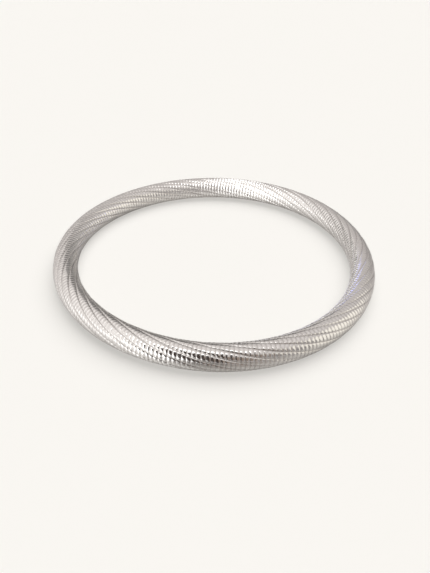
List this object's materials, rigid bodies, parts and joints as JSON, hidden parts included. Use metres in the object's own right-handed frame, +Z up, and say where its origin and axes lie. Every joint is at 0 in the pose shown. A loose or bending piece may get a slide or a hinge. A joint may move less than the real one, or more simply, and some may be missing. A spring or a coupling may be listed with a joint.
{
  "type": "twisted wire bangle",
  "caption": "Round closed bangle of silver strands twisted into one ring, crossed by fine ribs, worn by sliding it over the hand.",
  "frame": {"origin": "middle of the ring's outline, on the surface that the ring lies on", "axes": "+Z up, along the way the wrist goes in; +X to the right and +Y to the back as the ring is seen from its front"},
  "size_m": [0.0764, 0.0764, 0.0057],
  "materials": {
    "silver": "polished silver, crossed by fine ribs"
  },
  "bodies": {
    "root": {"twisted_ring": "silver"}
  },
  "joints": []
}
